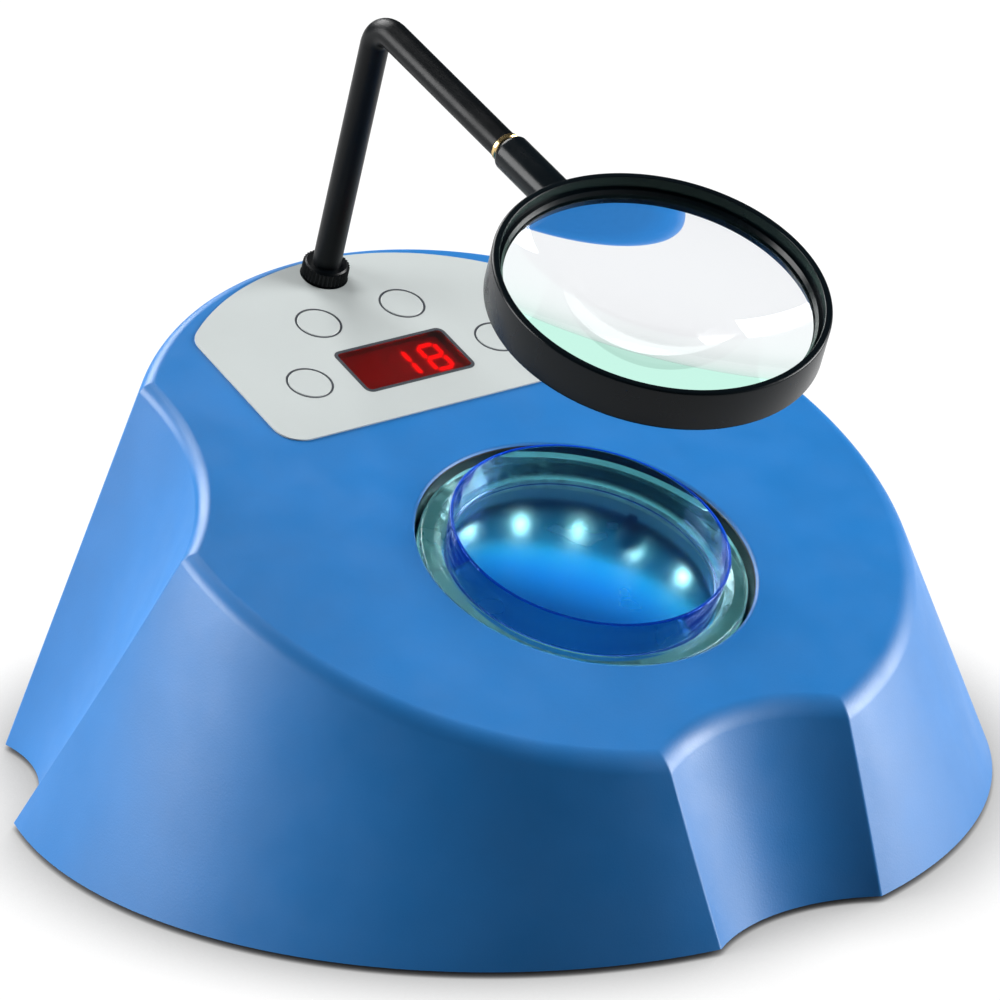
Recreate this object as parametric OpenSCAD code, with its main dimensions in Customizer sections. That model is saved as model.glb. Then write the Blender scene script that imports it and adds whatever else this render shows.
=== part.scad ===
// Bench colony counter: a fluted cone housing with a sloping top, a lit well for a Petri dish,
// a key panel with a red display, and a magnifier on a cranked arm.
// Origin: centre of the base circle, on the bench. +Z up, the user sits at -Y.

/* [Housing] */
// Diameter of the base circle
base_d = 320; // [312:1:330]
// Draft of the cone wall, degrees from upright
wall_slope = 21; // [20:0.5:22]
// Slope of the top face, degrees
top_tilt = 20; // [18:0.5:21]
// Height of the top face at the centre, above the lower edge of the cover
top_h = 104; // [102:1:110]
// Gap between the bench and the lower edge of the cover
foot_gap = 2; // [1.5:0.5:4]
// Thickness of the side wall
wall_t = 3; // [2.4:0.2:3.6]
// Thickness of the top wall
top_t = 3; // [2.8:0.2:3.6]
// Radius of the rounding between wall and top face
rim_r = 4; // [2:0.5:5]
// Radius of the rounding along the ridges of the flutes
ridge_r = 1.5; // [1:0.5:3]

/* [Flutes] */
// Distance of the flute axes from the centre, at the lower edge
flute_dist = 204; // [200:1:208]
// Radius of the flutes at the lower edge
flute_r = 56.4; // [54:0.2:58]
// Angle of the two side flutes from the rear, degrees
side_flute_az = 61; // [58:1:64]
// Shift of a side flute towards the front, per unit of height
side_lean = 0.4; // [0.3:0.02:0.44]
// Shift of a side flute towards the centre, per unit of height
side_draw = 0.07; // [0:0.01:0.08]

/* [Well and dish] */
// Place of the well on the top face, up the slope from the centre
well_v = -51.7; // [-54:0.5:-48]
// Radius of the well
well_r = 54; // [54:0.2:56]
// Radius of the dish at its rim
dish_r = 44.7; // [43.5:0.1:44.8]
// Height of the dish
dish_h = 15; // [13:0.5:17]
// Thickness of the dish wall
dish_t = 1.1; // [0.8:0.1:1.4]
// How far the dish stands out of the top face
dish_proud = 7.4; // [6:0.2:8]
// Thickness of the clear count plate
plate_t = 4; // [3:0.5:5]
// Travel of the count plate when a pen is pressed on the dish
plate_travel = 1; // [0.6:0.1:1.2]

/* [Light chamber] */
// Inner radius of the light chamber
chamber_r = 62.5; // [62:0.5:64]
// Depth of the chamber floor under the top face
chamber_depth = 50; // [48:1:52]
// Wall of the light chamber
chamber_t = 2.5; // [2:0.5:3]
// Depth of the row of lamps under the top face
led_depth = 37; // [35:1:39]
// Number of lamps round the chamber
led_count = 18; // [16:1:24]

/* [Panel] */
// Half width of the control panel
panel_hw = 61.3; // [59:0.5:62]
// Front edge of the panel, up the slope from the centre
panel_front = 26.9; // [25:0.5:28]
// Strip of the cover left bare between panel and rim
panel_inset = 3.5; // [3.5:0.5:5]
// Thickness of the panel foil
panel_t = 0.5; // [0.3:0.1:0.8]
// Corner radius of the panel
panel_corner = 9; // [6:0.5:10]
// Width of the display window
window_w = 42.4; // [41:0.2:44]
// Length of the display window down the slope
window_l = 21.7; // [20.5:0.1:23]
// Centre of the display window, up the slope
window_v = 51.8; // [51:0.2:53]
// Radius of the keys
key_r = 7.2; // [6.6:0.2:7.6]
// Travel of the keys
key_travel = 0.5; // [0.3:0.1:0.7]
// Sideways place of the front pair of keys
key_front_u = 37; // [36.5:0.5:40]
// Sideways place of the rear pair of keys
key_rear_u = 16.5; // [15:0.5:20]
// Place of the rear pair of keys up the slope
key_rear_v = 78.1; // [76:0.5:80]

/* [Magnifier arm] */
// Place of the arm up the slope
arm_v = 100.2; // [98:0.2:101]
// Radius of the arm
arm_r = 4.75; // [4.5:0.05:4.9]
// Radius of the steel spigot
core_r = 3; // [2.5:0.1:3.4]
// Height of the bend above the top face
arm_h = 100; // [90:1:120]
// Centre-line radius of the bend
bend_r = 8; // [6:0.5:12]
// How far the arm reaches down into the housing
arm_depth = 40; // [38:1:42]
// Turn of the arm from the centre line, degrees
swivel = 2.2; // [-5:0.1:5]
// Droop of the upper leg below the slope of the top face, degrees
leg_drop = 2.3; // [0:0.1:4]
// Distance from the bend to the centre of the lens
lens_reach = 148.4; // [146:0.2:156]
// Distance from the bend to the brass ferrule
ferrule_at = 68; // [60:1:70]
// Radius of the lens socket
socket_r = 6.2; // [5.8:0.1:6.8]
// Outer radius of the lens frame
frame_r = 52.6; // [52:0.2:54]
// Height of the lens frame
frame_h = 14.2; // [13.4:0.2:16]
// Wall of the lens frame
frame_t = 2.4; // [2:0.2:3]
// Radius of curvature of the lens faces
lens_curve = 250; // [230:10:400]
// Roll of the lens frame about the leg, degrees
lens_roll = -2.3; // [-10:0.1:10]

/* [Rear connectors] */
// Distance of the connector plate's outer face from the centre
plate_y = 131; // [129:0.5:132]
// Half width of the connector recess
recess_hw = 58; // [57.5:0.5:60]
// Height of the connector recess
recess_h = 40; // [38:0.5:42]
// Sideways place of the mains inlet
inlet_x = -30; // [-30:0.5:-29]
// Sideways place of the power switch
switch_x = 12; // [11:0.5:13]
// Sideways place of the serial port
serial_x = 37; // [36.5:0.5:37]

/* [Hidden] */
$fn = 64;

// Shared clearances
run_gap = 0.05;      // radial clearance of a running fit
seat_gap = 0.3;      // gap between parts that move past each other
fit_gap = 0.1;       // gap round a part dropped into a seat
eps = 0.01;          // overlap that keeps a cut clean

// Outline of the housing: three lobes of a circle with three flutes between them
base_r = base_d / 2;
k_wall = tan(wall_slope);
k_top = tan(top_tilt);
wall_in = wall_t / cos(wall_slope);
side_flare = 0.405;
flute_az = [-90, 90 - side_flute_az, 90 + side_flute_az];
flute_side = [0, -1, 1];
round_n = 2;         // steps in a ridge rounding
flute_n = 12;        // steps in a flute
lobe_n = 24;         // steps in a lobe
per_n = 2 * (round_n + 1) + flute_n - 1 + lobe_n - 1;
ring_n = 3 * per_n;

function dir(a) = [cos(a), sin(a)];
// Axis and radius of flute g at height z; inset a grows the flute and shrinks the lobes
function flute_c(g, z) = flute_dist * dir(flute_az[g])
    + z * (flute_side[g] * side_lean * dir(flute_az[g] + 90)
    - abs(flute_side[g]) * side_draw * dir(flute_az[g]));
function flute_rad(g, z, a) = flute_r + z * (g == 0 ? k_wall : side_flare) + a;
function lobe_rad(z, a) = base_r - k_wall * z - a;
// Angle at p of the triangle whose sides next to it are p and q, opposite side o
function corner(p, q, o) = acos((p * p + q * q - o * o) / (2 * p * q));
// [azimuth of the flute, half angle seen from the centre, half angle seen from the flute]
function flute_span(g, z, a) = let (
        c = flute_c(g, z), d = norm(c),
        big = lobe_rad(z, a) - ridge_r, small = flute_rad(g, z, a) + ridge_r)
    [atan2(c.y, c.x), corner(d, big, small), corner(d, small, big)];
// Point i of the outline at height z and inset a, counter-clockwise from the front flute
function outline_pt(i, z, a) = let (
        g = floor(i / per_n), j = i - g * per_n,
        s = flute_span(g, z, a), az = s[0], b = s[1], f = s[2],
        c = flute_c(g, z), r = lobe_rad(z, a), fr = flute_rad(g, z, a),
        ridge = (r - ridge_r), turn = (b + f) / round_n)
    j <= round_n ? ridge * dir(az - b) + ridge_r * dir(az - b + turn * j)
    : j < round_n + flute_n ? c + fr * dir(az + 180 + f - 2 * f * (j - round_n) / flute_n)
    : j <= 2 * round_n + flute_n ?
        ridge * dir(az + b) + ridge_r * dir(az - f + turn * (j - round_n - flute_n))
    : let (n = flute_span((g + 1) % 3, z, a), to = n[0] - n[1] + (g == 2 ? 360 : 0),
        from = az + b, step = (to - from) / lobe_n)
        r * dir(from + step * (j - 2 * round_n - flute_n));
function outline(z, a) = [for (i = [0:ring_n - 1]) outline_pt(i, z, a)];
// Point i where the wall, inset by a, meets the top plane lowered to height h at the centre
function top_pt(i, h, a, steps = 9, z = 80) = let (p = outline_pt(i, z, a))
    steps == 0 ? [p.x, p.y, h + p.y * k_top] : top_pt(i, h, a, steps - 1, h + p.y * k_top);
function top_ring(h, a) = [for (i = [0:ring_n - 1]) top_pt(i, h, a)];
// Ring a share s of the way from height z0 up to the ring t, on the wall inset by a
function wall_ring(t, z0, s, a) = [for (i = [0:ring_n - 1]) let (
    z = z0 + s * (t[i].z - z0), p = outline_pt(i, z, a)) [p.x, p.y, z]];

outer_top = top_ring(top_h - rim_r, 0);
outer_rings = concat(
    [for (s = [0, 0.25, 0.5, 0.75]) wall_ring(outer_top, 0, s, 0)],
    [for (q = [0:18:90]) top_ring(top_h - rim_r * (1 - sin(q)), rim_r * (1 - cos(q)))]);
inner_h = top_h - top_t / cos(top_tilt);
inner_top = top_ring(inner_h, wall_in);
// The shell runs from the underside of the top, down the inner wall and up the outer one
shell_rings = concat([inner_top],
    [for (s = [0.67, 0.33, 0]) wall_ring(inner_top, 0, s, wall_in)], outer_rings);
// Skin in the middle of the wall: bosses and ribs run out to it
mid_top = top_ring(top_h - top_t / 2 / cos(top_tilt), wall_in / 2);
mid_rings = concat([for (s = [0, 0.5]) wall_ring(mid_top, 0, s, wall_in / 2)], [mid_top]);

// Closed solid through a list of rings with the same number of points each
module skin(rings) {
    n = len(rings[0]);
    last = len(rings) - 1;
    polyhedron(
        points = [for (r = rings) each r],
        faces = concat(
            [[for (i = [0:n - 1]) i]],
            [for (k = [0:last - 1]) for (i = [0:n - 1])
                let (a = k * n + i, b = k * n + (i + 1) % n) each [[a, a + n, b], [b, a + n, b + n]]],
            [[for (i = [n - 1:-1:0]) last * n + i]]),
        convexity = 8);
}

// Frames: the sloping top face, the well in it, the arm, the arm's upper leg and the lens
module on_top() {
    translate([0, 0, foot_gap + top_h]) rotate([top_tilt, 0, 0]) children();
}
module on_well() { on_top() translate([0, well_v, 0]) children(); }
module on_arm() { on_top() translate([0, arm_v, 0]) rotate([0, 0, swivel]) children(); }
module on_leg() { on_arm() translate([0, 0, arm_h]) rotate([leg_drop, 0, 0]) children(); }
module on_lens() { on_leg() translate([0, -lens_reach, 0]) rotate([0, lens_roll, 0]) children(); }
// Turns a part that stands along +Z so that it points along the leg
module along_leg(d) { on_leg() translate([0, -d, 0]) rotate([90, 0, 0]) children(); }

// Tube of outer radius r and bore b from z0 to z1
module tube(r, b, z0, z1) {
    translate([0, 0, z0]) difference() {
        cylinder(r = r, h = z1 - z0);
        translate([0, 0, -1]) cylinder(r = b, h = z1 - z0 + 2);
    }
}
module disc(r, z0, z1) { translate([0, 0, z0]) cylinder(r = r, h = z1 - z0); }
// Plate of x by y by z size, centred on x and y, from height z0
module slab(x, y, z0, z1) { translate([-x / 2, -y / 2, z0]) cube([x, y, z1 - z0]); }
// Rounded rectangle, corners true arcs
module round_rect(x, y, r) {
    square([x - 2 * r, y], center = true);
    square([x, y - 2 * r], center = true);
    for (sx = [-1, 1], sy = [-1, 1])
        translate([sx * (x / 2 - r), sy * (y / 2 - r)]) circle(r = r, $fn = 32);
}
// Pan-head screw, head's underside at z = 0, shank down
module screw(r, head_r, head_h, len) {
    difference() {
        disc(head_r, 0, head_h);
        translate([0, 0, head_h]) cube([head_r * 1.3, 0.6, 1.2], center = true);
    }
    disc(r, -len, 0);
}

// Levels below the top face (w), from the dish down
plate_w = dish_proud - dish_h;          // upper face of the count plate
carrier_w = plate_w - plate_t;          // upper face of the carrier ring
carrier_t = 3.4;
carrier_low = carrier_w - carrier_t;
shelf_w = carrier_low - plate_travel - 4;   // upper face of the shelf in the chamber
shelf_t = 2;
plate_r = well_r - 1.5;                 // rim of plate, carrier and dish ring
carrier_in = 44;
pin_at = 49;                            // radius of the three guide pins
pin_r = 2;
pin_len = 12;
pin_az = [30, 150, 270];
pad_r = 4.6;
skirt_t = 3;
skirt_low = -14;
well_fillet = 1.5;
chamber_low = -chamber_depth - 2;
ear_at = chamber_r + chamber_t + 7;     // radius of the chamber's fixing ears
ear_az = [90, 210, 330];
ear_w = -18;
ear_t = 3;
ear_r = 4.5;

// Levels under the panel
cap_t = 2.2;
key_proud = 0.1;
cap_top = panel_t + key_proud;
cap_low = cap_top - cap_t;
pocket_w = cap_low - key_travel - 0.1;
stem_r = 2.5;
guide_r = 5;
guide_low = -6.5;
board_w = -10;                          // upper face of the control board
board_t = 1.6;
board_hw = 50;
board_v = [32, 90];
board_fix_u = 46;
board_fix_v = [36.5, 85.5];
button_h = 1.8;                         // height of the small switches on the board
stem_low = board_w + button_h + key_travel + 0.1;
keys = [[-key_front_u, window_v], [key_front_u, window_v],
    [-key_rear_u, key_rear_v], [key_rear_u, key_rear_v]];
window_corner = 2.5;
window_low = -3;
digit_w = -3.4;                         // upper face of the display module
digit_t = 0.3;
digit_pitch = 12.6;
digit_h = 14.2;

// Arm and collar
socket_out = 8;
collet_t = 0.7;
collet_r = arm_r + run_gap + collet_t;
neck_r = collet_r + 0.7;
neck_h = 4;
socket_low = -30;
collet_low = socket_low + 2;
boss_r = 11;
collar_r = 7.75;
collar_low = panel_t + seat_gap;
collar_h = 5;
collar_ribs = 36;
spigot_in = 16;                         // depth of the steel spigot in the bar
spigot_to = ferrule_at + 20;            // end of the steel spigot in the lens socket
ferrule_t = 1.8;
socket_from = ferrule_at + ferrule_t + seat_gap;

// Base
plate_z = foot_gap + 0.5;               // underside of the base plate
plate_h = 3;
floor_z = plate_z + plate_h;            // upper face of the base plate
plate_gap = 0.3;
base_fix_az = [52, 128, 196, 230, 310, 344];
base_fix_r = 140;
base_boss_r = 4.5;
base_boss_top = 36 + foot_gap;
screw_r = 1.5;
pilot_r = screw_r + run_gap;
pilot_end = -top_t - 0.5;               // upper end of the screw holes under the top
feet_az = [45, 135, 225, 315];
feet_at = 128;
foot_r = 9;
stud_r = 2.5;

// Connector recess
recess_z = floor_z + 2.5;               // lower edge of the recess
recess_wall = 2.5;
cplate_t = 2;
ledge_t = 3;
ledge_w = 6.5;
conn_z = recess_z + recess_h / 2;       // centre line of the connectors
cplate_fix = [recess_hw - ledge_w / 2, recess_h / 2 - ledge_w / 2];
inlet_size = [50, 24];
inlet_body = [30, 22];
inlet_hole = [24, 17];
inlet_depth = 16;
inlet_fix = 20;
rocker_size = [11.4, 17.2];
bezel_in = [12, 19.2];
bezel_out = [15, 22];
rocker_tilt = 8;
trunnion_r = 1.2;                       // pivot pins of the rocker
post_at = 12.5;
post_r = 2.75;

// Power supply
supply = [80, 60];
supply_y = 78;
supply_z = floor_z + 6;
supply_fix = [36, 26];
supply_t = 1.6;
supply_top = supply_z + supply_t;
coil = [42, 36, 32];

// ---- Housing ----

// Skirt, bosses and blocks inside the cover, before they are trimmed to the wall
module cover_inside() {
    on_well() disc(well_r + skirt_t, skirt_low, 0);
    on_well() for (a = ear_az) rotate(a) translate([ear_at, 0, 0]) disc(ear_r, ear_w, 0);
    on_top() for (k = keys) translate(k) disc(guide_r, guide_low, 0);
    on_top() for (u = [-1, 1], v = board_fix_v)
        translate([u * board_fix_u, v, 0]) disc(3.5, board_w, 0);
    on_arm() disc(boss_r, socket_low, 0);
    for (a = base_fix_az) rotate(a) base_boss();
    recess_block();
}
// Screw boss near the lower edge, with a web that runs out to the cone wall
module base_boss() {
    translate([base_fix_r, 0, 0]) disc(base_boss_r, floor_z, base_boss_top);
    translate([0, 1, 0]) rotate([90, 0, 0]) linear_extrude(2)
        polygon([[base_fix_r, floor_z], [base_r + 5, floor_z],
            [base_r + 5, base_boss_top], [base_fix_r, base_boss_top]]);
}
// Block round the connector recess, hollowed by recess_cut()
module recess_block() {
    low = recess_z - recess_wall;
    translate([-recess_hw - recess_wall, plate_y - cplate_t - ledge_t, low])
        cube([2 * (recess_hw + recess_wall), 60, recess_h + 2 * recess_wall]);
}
module recess_cut() {
    translate([-recess_hw, plate_y - cplate_t, recess_z]) cube([2 * recess_hw, 80, recess_h]);
    translate([-recess_hw + ledge_w, plate_y - 20, recess_z + ledge_w])
        cube([2 * (recess_hw - ledge_w), 40, recess_h - 2 * ledge_w]);
    for (sx = [-1, 1], sz = [-1, 1])
        translate([sx * cplate_fix.x, plate_y, conn_z + sz * cplate_fix.y])
            rotate([90, 0, 0]) cylinder(r = pilot_r, h = cplate_t + ledge_t + 1);
}
// Well bore with a rounded mouth
module well_cut() {
    mouth = well_r + well_fillet;
    rotate_extrude($fn = 128) polygon(concat(
        [[0, -40], [well_r, -40]],
        [for (q = [0:18:72]) [mouth - well_fillet * cos(q), -well_fillet * (1 - sin(q))]],
        [[mouth + well_fillet * cos(72), well_fillet * (1 - sin(72))], [mouth + 0.5, 1], [0, 1]]));
}
module key_cut() {
    disc(key_r + 0.7, pocket_w, 5);
    disc(stem_r + run_gap, guide_low - 1, 0);
}
module top_cover() {
    color([0.27, 0.53, 0.79]) difference() {
        union() {
            translate([0, 0, foot_gap]) skin(shell_rings);
            intersection() {
                translate([0, 0, foot_gap]) skin(mid_rings);
                cover_inside();
            }
        }
        on_well() well_cut();
        on_well() for (a = ear_az) rotate(a) translate([ear_at, 0, 0])
            disc(pilot_r, ear_w - 1, pilot_end);
        on_top() for (k = keys) translate(k) key_cut();
        on_top() translate([0, window_v, -10]) linear_extrude(20)
            round_rect(window_w + 2 * fit_gap, window_l + 2 * fit_gap, window_corner);
        on_top() for (u = [-1, 1], v = board_fix_v)
            translate([u * board_fix_u, v, 0]) disc(pilot_r, board_w - 1, pilot_end);
        on_arm() disc(socket_out, socket_low - 10, 10);
        for (a = base_fix_az) rotate(a) translate([base_fix_r, 0, 0])
            disc(pilot_r, floor_z - 1, floor_z + 22);
        recess_cut();
    }
}
module base_plate() {
    color([0.13, 0.14, 0.15]) {
        difference() {
            translate([0, 0, plate_z]) linear_extrude(plate_h)
                polygon(outline(floor_z - foot_gap, wall_in + plate_gap));
            for (a = base_fix_az) rotate(a) translate([base_fix_r, 0, 0]) {
                disc(screw_r + 0.2, 0, floor_z + 1);
                disc(3.6, 0, plate_z + 1.6);
            }
            for (a = feet_az) rotate(a) translate([feet_at, 0, 0])
                disc(stud_r + run_gap, 0, floor_z + 1);
            supply_posts() disc(pilot_r, 0, supply_z + 1);
        }
        supply_posts() tube(3.5, pilot_r, floor_z - eps, supply_z);
    }
}
module supply_posts() {
    for (sx = [-1, 1], sy = [-1, 1])
        translate([sx * supply_fix.x, supply_y + sy * supply_fix.y, 0]) children();
}
module rubber_feet() {
    color([0.1, 0.1, 0.1]) for (a = feet_az) rotate(a) translate([feet_at, 0, 0]) {
        rotate_extrude() polygon([[0, 0], [foot_r - 1, 0], [foot_r, 0.8],
            [foot_r, plate_z], [0, plate_z]]);
        disc(stud_r, plate_z - eps, floor_z + 0.4);
        translate([0, 0, floor_z]) cylinder(r1 = stud_r + 0.8, r2 = stud_r - 0.5, h = 2);
    }
}
module base_screws() {
    color([0.6, 0.6, 0.62]) for (a = base_fix_az) rotate(a)
        translate([base_fix_r, 0, plate_z + 1.6]) rotate([180, 0, 0])
            screw(screw_r, 3.2, 1.4, 18);
}

// ---- Panel, display and keys ----

// Edge of the panel: straight sides and front, and a rear edge that follows the rim
rim_mid = 17;
rim_half = 111.6 - rim_mid;
module panel_shape() {
    offset(r = panel_corner, $fn = 48) offset(delta = -panel_corner) intersection() {
        translate([-panel_hw, panel_front]) square([2 * panel_hw, 120]);
        translate([0, rim_mid]) circle(r = rim_half - panel_inset, $fn = 128);
    }
}
module control_panel() {
    color([0.82, 0.84, 0.84]) on_top() difference() {
        linear_extrude(panel_t) panel_shape();
        for (k = keys) translate(k) disc(key_r + 0.3, -1, 2);
        translate([0, window_v, -1]) linear_extrude(3)
            round_rect(window_w + 2 * fit_gap, window_l + 2 * fit_gap, window_corner);
        translate([0, arm_v, 0]) disc(socket_out, -1, 2);
    }
}
module display_window() {
    color([0.25, 0.01, 0.02]) on_top() translate([0, window_v, window_low])
        linear_extrude(panel_t - window_low) round_rect(window_w, window_l, window_corner);
}
// One bar of a seven-segment digit, pointed at both ends
module bar(len, w) {
    linear_extrude(digit_t) polygon([[-len / 2, 0], [-len / 2 + w / 2, w / 2],
        [len / 2 - w / 2, w / 2], [len / 2, 0], [len / 2 - w / 2, -w / 2],
        [-len / 2 + w / 2, -w / 2]]);
}
module digit() {
    seg = digit_h / 2 - 1;
    for (s = [-1, 0, 1]) translate([0, s * (seg + 0.2), 0]) bar(seg - 0.4, 1.5);
    for (sx = [-1, 1], sy = [-1, 1])
        translate([sx * seg / 2 + sx * 0.2, sy * (seg + 0.2) / 2, 0]) rotate(90) bar(seg - 0.4, 1.5);
}
module display_digits() {
    color([0.95, 0.1, 0.05]) on_top() for (i = [-1:1])
        translate([i * digit_pitch, window_v, digit_w]) digit();
}
module display_module() {
    color([0.1, 0.1, 0.1]) on_top() translate([0, window_v, 0])
        slab(3 * digit_pitch, window_l - 2, board_w, digit_w);
}
module control_board() {
    color([0.05, 0.35, 0.15]) on_top() difference() {
        translate([-board_hw, board_v[0], board_w - board_t])
            cube([2 * board_hw, board_v[1] - board_v[0], board_t]);
        for (u = [-1, 1], v = board_fix_v)
            translate([u * board_fix_u, v, 0]) disc(screw_r + 0.2, -20, 0);
    }
}
module key_switches() {
    color([0.15, 0.15, 0.16]) on_top() for (k = keys) translate(k) {
        slab(6, 6, board_w, board_w + 1.3);
        disc(1.6, board_w + 1.3 - eps, board_w + button_h);
    }
}
module buzzer() {
    color([0.08, 0.08, 0.09]) on_top() translate([0, 76, board_w - board_t])
        difference() {
            disc(8, -7, 0);
            disc(1.2, -8, -2);
        }
}
module board_screws() {
    color([0.7, 0.7, 0.72]) on_top() for (u = [-1, 1], v = board_fix_v)
        translate([u * board_fix_u, v, board_w - board_t]) rotate([180, 0, 0])
            screw(screw_r, 2.8, 1.6, 6.5);
}
module key(k) {
    color([0.84, 0.85, 0.86]) on_top() translate(k) {
        rotate_extrude($fn = 96) polygon([[0, cap_low], [key_r, cap_low],
            [key_r, cap_top - 0.3], [key_r - 0.3, cap_top], [0, cap_top]]);
        disc(stem_r, stem_low, cap_low + eps);
    }
}
module key_front_left() { key(keys[0]); }
module key_front_right() { key(keys[1]); }
module key_rear_left() { key(keys[2]); }
module key_rear_right() { key(keys[3]); }

// ---- Light chamber and count platform ----

module light_chamber() {
    color([0.85, 0.87, 0.9]) on_well() difference() {
        union() {
            disc(chamber_r + chamber_t, chamber_low, -top_t);
            for (a = ear_az) rotate(a) {
                translate([ear_at, 0, 0]) disc(ear_r, ear_w - ear_t, ear_w);
                translate([chamber_r + 1, -ear_r, ear_w - ear_t])
                    cube([ear_at - chamber_r - 1, 2 * ear_r, ear_t]);
            }
        }
        difference() {
            disc(chamber_r, -chamber_depth, 1);
            tube(chamber_r + 1, pin_at - 3, shelf_w - shelf_t, shelf_w);
            for (a = pin_az) rotate(a) translate([pin_at, 0, 0])
                disc(4.5, shelf_w - 8, shelf_w - eps);
        }
        for (a = pin_az) rotate(a) translate([pin_at, 0, 0])
            disc(pin_r + run_gap, shelf_w - 9, shelf_w + 1);
        for (a = ear_az) rotate(a) translate([ear_at, 0, 0])
            disc(screw_r + 0.2, ear_w - ear_t - 1, ear_w + 1);
        translate([0, chamber_r, -chamber_depth + 8]) rotate([-90, 0, 0]) disc(3, -4, 8);
    }
}
module chamber_screws() {
    color([0.7, 0.7, 0.72]) on_well() for (a = ear_az) rotate(a)
        translate([ear_at, 0, ear_w - ear_t]) rotate([180, 0, 0]) screw(screw_r, 2.8, 1.6, 12);
}
module field_disc() {
    color([0.05, 0.35, 0.85]) on_well() disc(chamber_r - 0.2, -chamber_depth, -chamber_depth + 1.8);
}
module led_strip() {
    color([0.9, 0.9, 0.88]) on_well() tube(chamber_r, chamber_r - 1, -led_depth - 4, -led_depth + 4);
}
module leds() {
    color([0.85, 1, 1]) on_well() for (i = [0:led_count - 1]) rotate((i + 0.5) * 360 / led_count)
        translate([chamber_r - 3.05, -1.9, -led_depth - 1.6]) {
            cube([2, 3.8, 3.2]);
        }
}
// Bellows-shaped rubber spring round each guide pin
module platform_pads() {
    h = carrier_low - shelf_w;
    color([0.2, 0.2, 0.22]) on_well() for (a = pin_az) rotate(a)
        translate([pin_at, 0, shelf_w]) rotate_extrude() polygon([
            [pin_r + 0.6, 0], [pad_r, 0], [pad_r, 0.8], [pad_r - 1, h * 0.35],
            [pad_r, h * 0.55], [pad_r - 1, h * 0.75], [pad_r - 0.4, h], [pin_r + 0.6, h]]);
}
module press_switch() {
    color([0.12, 0.12, 0.13]) on_well() rotate(90) translate([chamber_r - 12, 0, 0]) {
        slab(6, 6, shelf_w, shelf_w + 2.6);
        disc(1.6, shelf_w + 2.6 - eps, carrier_low - plate_travel - seat_gap);
    }
}
module platform_carrier() {
    color([0.12, 0.13, 0.15]) on_well() {
        difference() {
            tube(plate_r, carrier_in, carrier_low, carrier_w);
            for (a = pin_az) rotate(a) translate([pin_at, 0, 0])
                tube(pad_r + 0.7, pin_r, carrier_low - 1, carrier_low + plate_travel + 0.2);
        }
        for (a = pin_az) rotate(a) translate([pin_at, 0, 0])
            disc(pin_r, carrier_low - pin_len, carrier_low + eps);
    }
}
module count_plate() {
    color([0.8, 0.9, 0.95, 0.4]) on_well() disc(plate_r, carrier_w, plate_w);
}
// Clear ring that centres the dish on the plate
module dish_ring() {
    in = dish_r + 0.5;
    top = plate_w + 5.2;
    color([0.7, 0.85, 0.8, 0.5]) on_well() rotate_extrude($fn = 128) polygon([
        [in, plate_w], [plate_r, plate_w], [plate_r, top - 1], [plate_r - 0.4, top - 0.3],
        [plate_r - 1.2, top], [in + 2.6, top], [in + 1, top - 0.8], [in, top - 2.4]]);
}
module petri_dish() {
    foot = dish_r - 0.8;
    color([0.6, 0.8, 1, 0.4]) on_well() translate([0, 0, plate_w]) rotate_extrude($fn = 128)
        polygon([[0, 0.5], [foot - 1.6, 0.5], [foot - 1.4, 0], [foot - 0.3, 0], [foot, 0.4],
            [dish_r, dish_h - 0.3], [dish_r - 0.3, dish_h], [dish_r - dish_t + 0.2, dish_h],
            [dish_r - dish_t, dish_h - 0.3], [foot - dish_t, 2.4], [foot - dish_t - 1, 1.7],
            [0, 1.7]]);
}

// ---- Magnifier ----

module arm_socket() {
    color([0.75, 0.62, 0.3]) on_arm() difference() {
        union() {
            disc(socket_out, socket_low, panel_t);
            disc(neck_r, 0, neck_h);
        }
        disc(collet_r + run_gap, collet_low, neck_h + 1);
        disc(arm_r + 0.3, socket_low - 1, neck_h);
    }
}
module arm_collet() {
    color([0.3, 0.31, 0.33]) on_arm() difference() {
        tube(collet_r, arm_r + run_gap, collet_low + 0.1, neck_h - 0.2);
        for (a = [0, 120, 240]) rotate(a)
            translate([0, -0.4, -12]) cube([collet_r + 1, 0.8, neck_h + 14]);
    }
}
module knurled_collar() {
    top = collar_low + collar_h;
    color([0.05, 0.05, 0.06]) on_arm() difference() {
        union() {
            translate([0, 0, collar_low + 0.3]) linear_extrude(collar_h - 0.8)
                polygon([for (i = [0:2 * collar_ribs - 1])
                    (collar_r - 0.45 * (i % 2)) * dir(i * 180 / collar_ribs)]);
            disc(collar_r - 0.5, collar_low, top - 0.6);
            translate([0, 0, top - 0.6]) cylinder(r1 = collar_r - 0.5, r2 = collar_r - 1.1, h = 0.6);
        }
        disc(neck_r + run_gap, 0, neck_h + 0.3);
        disc(arm_r + run_gap, 0, top + 1);
    }
}
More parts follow.
